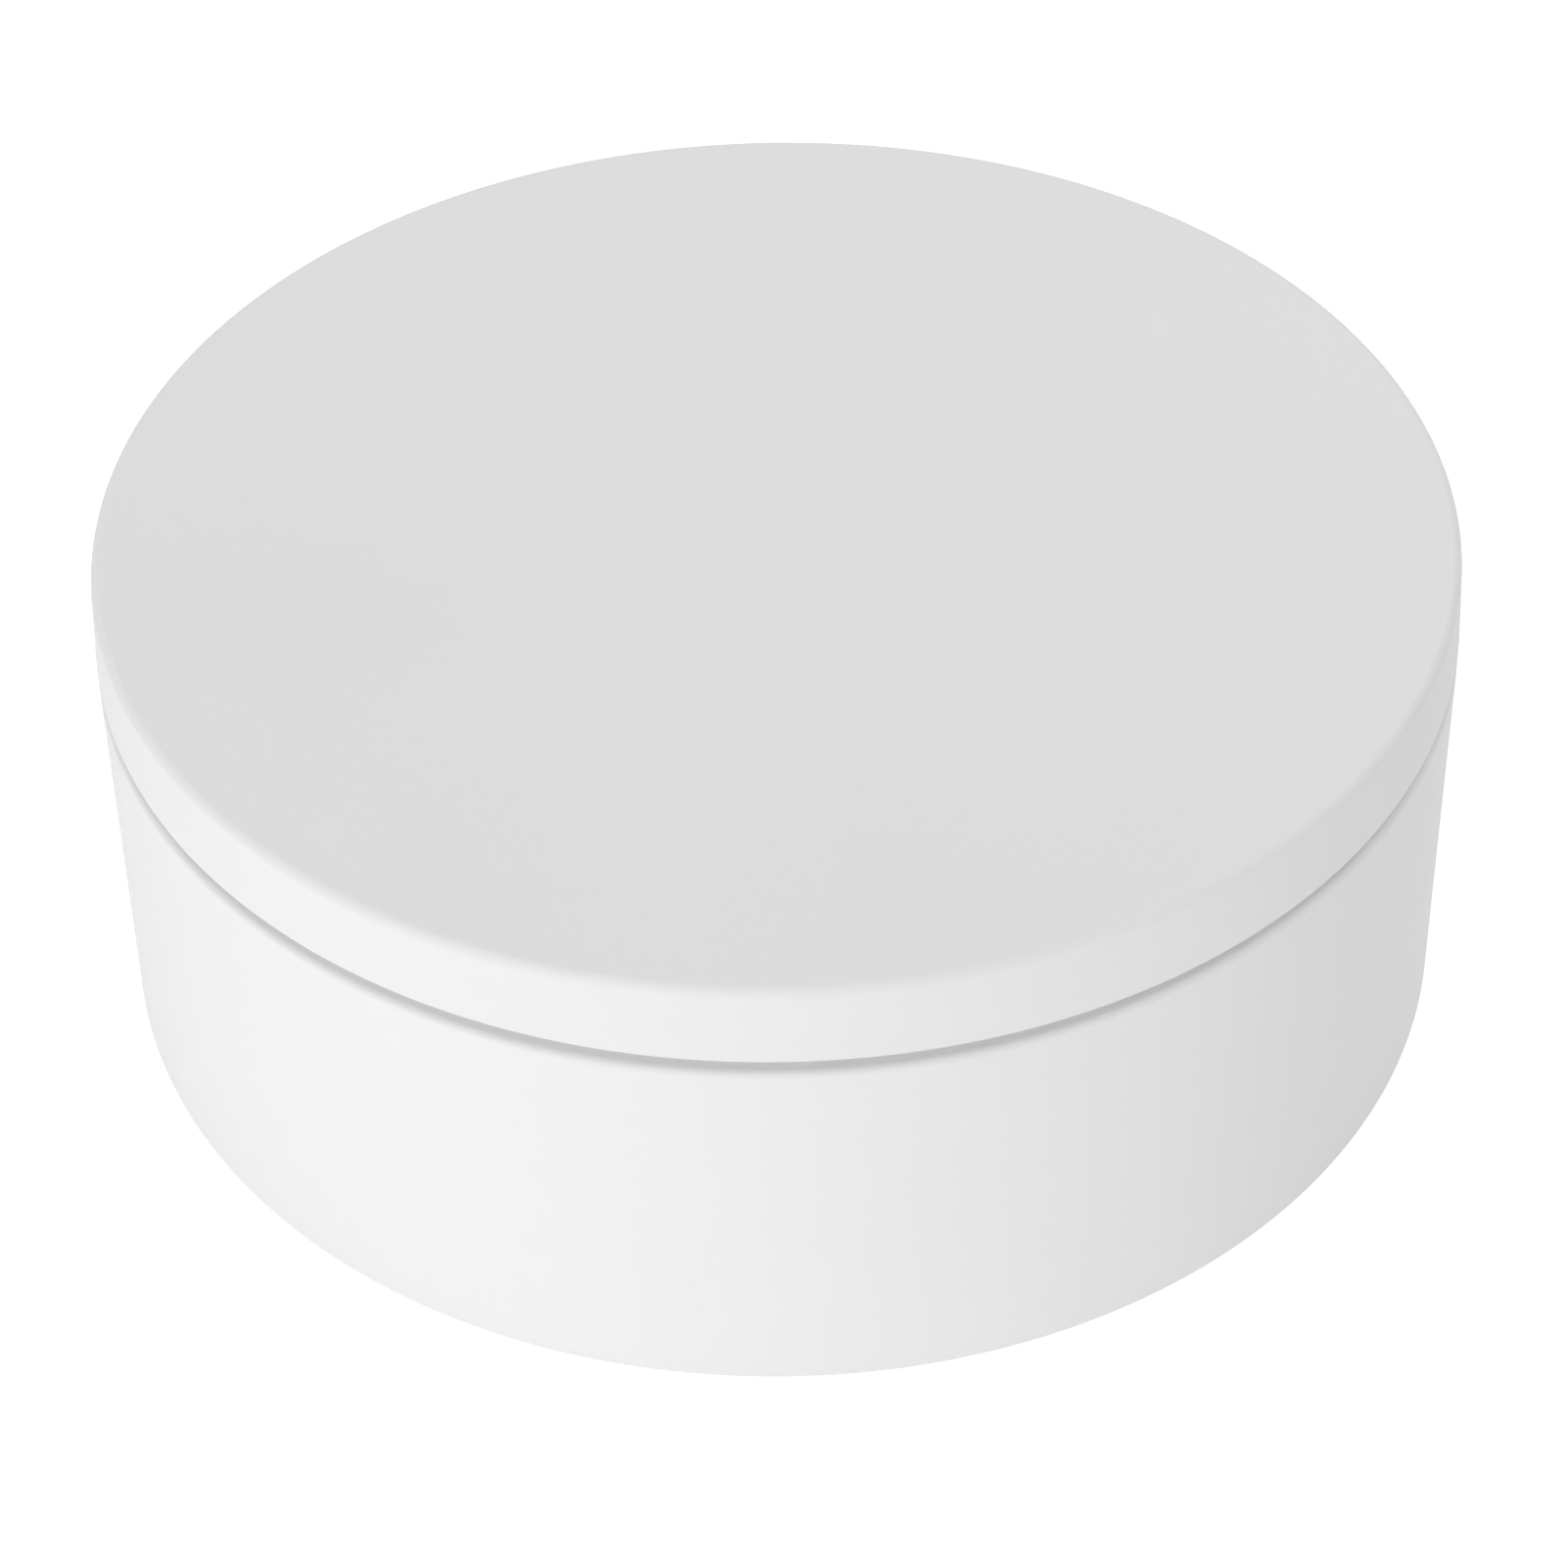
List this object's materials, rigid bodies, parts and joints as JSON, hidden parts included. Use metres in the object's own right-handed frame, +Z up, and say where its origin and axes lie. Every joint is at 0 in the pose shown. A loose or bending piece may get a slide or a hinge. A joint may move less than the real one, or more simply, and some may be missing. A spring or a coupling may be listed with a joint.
{
  "type": "wet palette",
  "caption": "Round lidded wet palette: a flat push-on lid with a sealing plug over a straight tub that holds a hung water tray, sponge and palette paper, with spares stored below.",
  "frame": {"origin": "on the surface that the palette stands on, below the middle of the drum", "axes": "+Z up along the drum's axis, the way the lid lifts; -Y is the side that the picture looks at"},
  "size_m": [0.13, 0.13, 0.0495],
  "materials": {
    "shell_plastic": "white moulded polypropylene with a fine matte grain",
    "tray_plastic": "pale grey moulded polypropylene, satin",
    "seal_silicone": "white silicone rubber",
    "foot_silicone": "light grey silicone rubber",
    "cellulose_sponge": "open-pored cellulose sponge",
    "palette_paper": "translucent greaseproof paper"
  },
  "bodies": {
    "drum": {"tub": "shell_plastic", "foot_pad_1": "foot_silicone", "foot_pad_2": "foot_silicone", "foot_pad_3": "foot_silicone", "foot_pad_4": "foot_silicone"},
    "spare_sheets": {"spare_membranes": "palette_paper"},
    "spare_pad": {"spare_sponge": "cellulose_sponge"},
    "tray": {"wet_tray": "tray_plastic"},
    "wet_pad": {"sponge": "cellulose_sponge"},
    "paper": {"palette_membrane": "palette_paper"},
    "lid": {"lid_cover": "shell_plastic", "lid_plug": "shell_plastic", "lid_gasket": "seal_silicone"}
  },
  "joints": [
    {"name": "spare_sheets_lift", "type": "slide", "parent": "drum", "child": "spare_sheets", "axis": [0, 0, 1], "range_m": [0, 0.045]},
    {"name": "spare_pad_lift", "type": "slide", "parent": "spare_sheets", "child": "spare_pad", "axis": [0, 0, 1], "range_m": [0, 0.045]},
    {"name": "tray_lift", "type": "slide", "parent": "spare_pad", "child": "tray", "axis": [0, 0, 1], "range_m": [0, 0.035]},
    {"name": "wet_pad_lift", "type": "slide", "parent": "tray", "child": "wet_pad", "axis": [0, 0, 1], "range_m": [0, 0.03]},
    {"name": "paper_lift", "type": "slide", "parent": "wet_pad", "child": "paper", "axis": [0, 0, 1], "range_m": [0, 0.03]},
    {"name": "lid_lift", "type": "slide", "parent": "paper", "child": "lid", "axis": [0, 0, 1], "range_m": [0, 0.08]}
  ]
}
